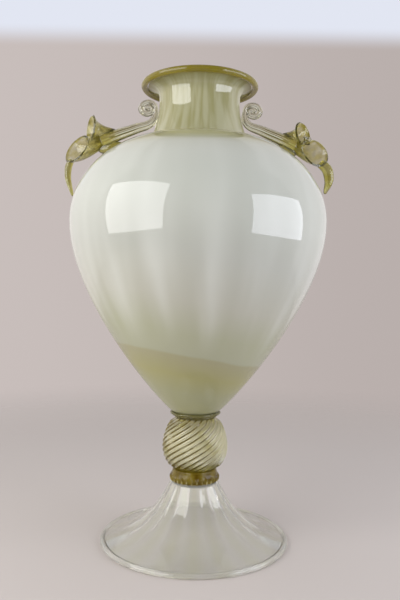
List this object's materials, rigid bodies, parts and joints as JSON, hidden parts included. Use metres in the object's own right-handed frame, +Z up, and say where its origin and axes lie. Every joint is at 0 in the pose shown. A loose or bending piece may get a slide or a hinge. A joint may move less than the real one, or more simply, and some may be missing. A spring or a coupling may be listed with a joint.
{
  "type": "amphora vase",
  "caption": "Blown glass footed amphora vase with a wide neck, two scrolled leaf handles, a ribbed ball knop and a trumpet foot.",
  "frame": {"origin": "centre of the foot's underside", "axes": "+Z up along the vase's axis, handles along -X and +X, -Y is the front"},
  "size_m": [0.2703, 0.2528, 0.4526],
  "materials": {
    "milk_glass": "polished opaque white glass under clear glass",
    "neck_glass": "polished olive gold glass",
    "olive_glass": "polished dark olive glass",
    "knop_glass": "ribbed pale gold glass",
    "amber_glass": "polished amber glass",
    "gold_glass": "polished gold glass",
    "foot_glass": "ribbed clear glass with fine gold dust",
    "clear_glass": "polished clear glass"
  },
  "bodies": {
    "root": {"foot": "foot_glass", "foot_rim": "clear_glass", "collar": "amber_glass", "knop": "knop_glass", "merese": "olive_glass", "bowl": "milk_glass", "neck": "neck_glass", "lip_wrap": "olive_glass", "left_handle_rod": "clear_glass", "left_shoulder_pad": "gold_glass", "left_small_leaf": "gold_glass", "left_large_leaf": "gold_glass", "left_tail": "gold_glass", "right_handle_rod": "clear_glass", "right_shoulder_pad": "gold_glass", "right_small_leaf": "gold_glass", "right_large_leaf": "gold_glass", "right_tail": "gold_glass"}
  },
  "joints": []
}
